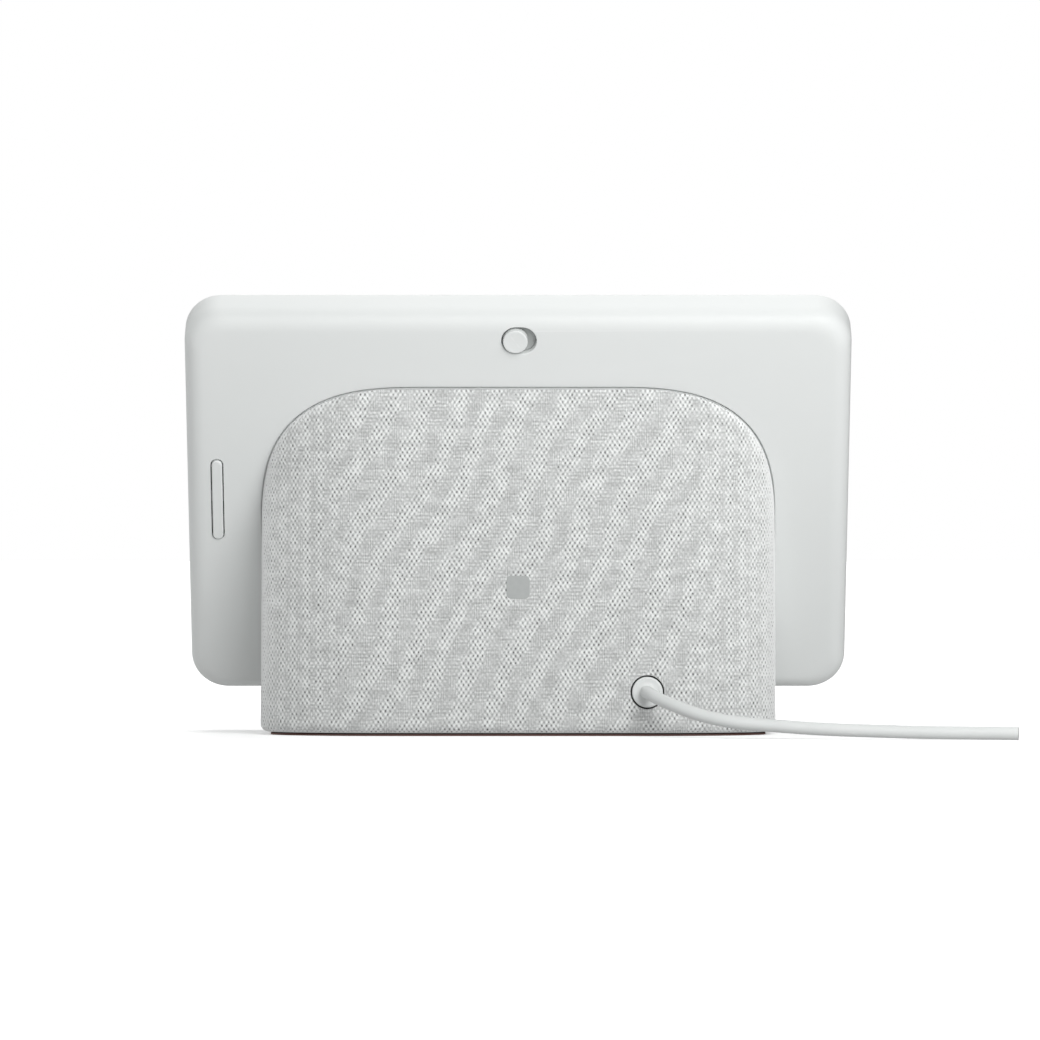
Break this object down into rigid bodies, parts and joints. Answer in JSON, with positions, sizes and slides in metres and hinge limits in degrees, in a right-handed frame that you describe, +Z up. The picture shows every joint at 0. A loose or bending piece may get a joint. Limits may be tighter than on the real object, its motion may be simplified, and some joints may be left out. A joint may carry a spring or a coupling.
{
  "type": "smart display",
  "caption": "Table-top smart display: a thin slab leaning back on a fabric-covered loudspeaker base, with a mute slide switch, a volume rocker, and a round power plug with its cord.",
  "frame": {"origin": "on the table plane, at the middle of the underside of the foot", "axes": "+Z up, -Y is the way the screen faces, +Y is the rear with the plug, +X is to the left when seen from behind"},
  "size_m": [0.2199, 0.1019, 0.1178],
  "materials": {
    "shell_white": "fine satin moulded plastic",
    "bezel_glass": "back-printed glass",
    "screen_black": "dark panel",
    "gasket_black": "foam",
    "insert_grey": "matte",
    "flag_orange": "matte",
    "fabric_grey": "heather knit",
    "frame_plastic": "moulded",
    "foot_coral": "silicone",
    "sheet_steel": "stamped",
    "plate_aluminium": "satin",
    "board_green": "solder mask",
    "cone_paper": "pressed pulp",
    "surround_rubber": "soft",
    "spider_cloth": "resin-dipped cloth",
    "coil_copper": "enamelled copper",
    "flex_amber": "polyimide film",
    "wire_red": "insulation",
    "wire_black": "insulation",
    "cord_white": "soft cord jacket"
  },
  "bodies": {
    "housing": {"rear_cover": "shell_white", "front_glass": "bezel_glass", "glass_gasket": "gasket_black", "lcd_panel": "screen_black", "backlight_tray": "sheet_steel", "chassis_plate": "plate_aluminium", "sensor_board": "board_green", "microphone_left": "sheet_steel", "microphone_right": "sheet_steel", "light_sensor": "screen_black", "wifi_antenna_left": "flex_amber", "wifi_antenna_right": "flex_amber", "chassis_screw_1": "sheet_steel", "chassis_screw_2": "sheet_steel", "chassis_screw_3": "sheet_steel", "chassis_screw_4": "sheet_steel", "recess_insert": "insert_grey", "mute_flag": "flag_orange", "mute_switch_body": "sheet_steel", "rocker_bracket": "sheet_steel", "rocker_pin": "sheet_steel", "volume_board": "board_green", "volume_up_switch": "sheet_steel", "volume_down_switch": "sheet_steel", "fabric_sleeve": "fabric_grey", "grille_shell": "frame_plastic", "base_plate": "frame_plastic", "rubber_foot": "foot_coral", "base_screw_1": "sheet_steel", "base_screw_2": "sheet_steel", "base_screw_3": "sheet_steel", "base_screw_4": "sheet_steel", "display_bracket": "sheet_steel", "bracket_screw_1": "sheet_steel", "bracket_screw_2": "sheet_steel", "main_board": "board_green", "shield_can": "sheet_steel", "heat_spreader": "plate_aluminium", "dc_jack": "frame_plastic", "jack_sleeve": "gasket_black", "display_flex": "flex_amber", "speaker_basket": "frame_plastic", "speaker_gasket": "gasket_black", "speaker_surround": "surround_rubber", "speaker_spider": "spider_cloth", "speaker_magnet": "plate_aluminium", "speaker_wire_plus": "wire_red", "speaker_wire_minus": "wire_black"},
    "mute_slider": {"mute_knob": "shell_white", "mute_carriage": "frame_plastic", "mute_switch_nib": "insert_grey"},
    "rocker": {"volume_rocker": "shell_white"},
    "speaker_diaphragm": {"speaker_cone": "cone_paper", "dust_cap": "cone_paper", "voice_coil": "coil_copper"},
    "cord": {"power_plug": "cord_white", "power_cable": "cord_white"}
  },
  "joints": [
    {"name": "mute_slide", "type": "slide", "parent": "housing", "child": "mute_slider", "axis": [-1, 0, 0], "range_m": [0, 0.0019]},
    {"name": "volume_rock", "type": "hinge", "parent": "housing", "child": "rocker", "pos_m": [0.0811, 0.00151, 0.06463], "axis": [1, 0, 0], "range_deg": [-2, 2], "stiffness_Nm_per_rad": 0.005},
    {"name": "cone_travel", "type": "slide", "parent": "housing", "child": "speaker_diaphragm", "axis": [0, 0.9903, 0.1392], "range_m": [-0.001, 0.001], "stiffness_N_per_m": 900, "deforming": ["speaker_surround", "speaker_spider"]},
    {"name": "plug_pull", "type": "slide", "parent": "housing", "child": "cord", "axis": [0, 1, 0], "range_m": [0, 0.012]}
  ]
}
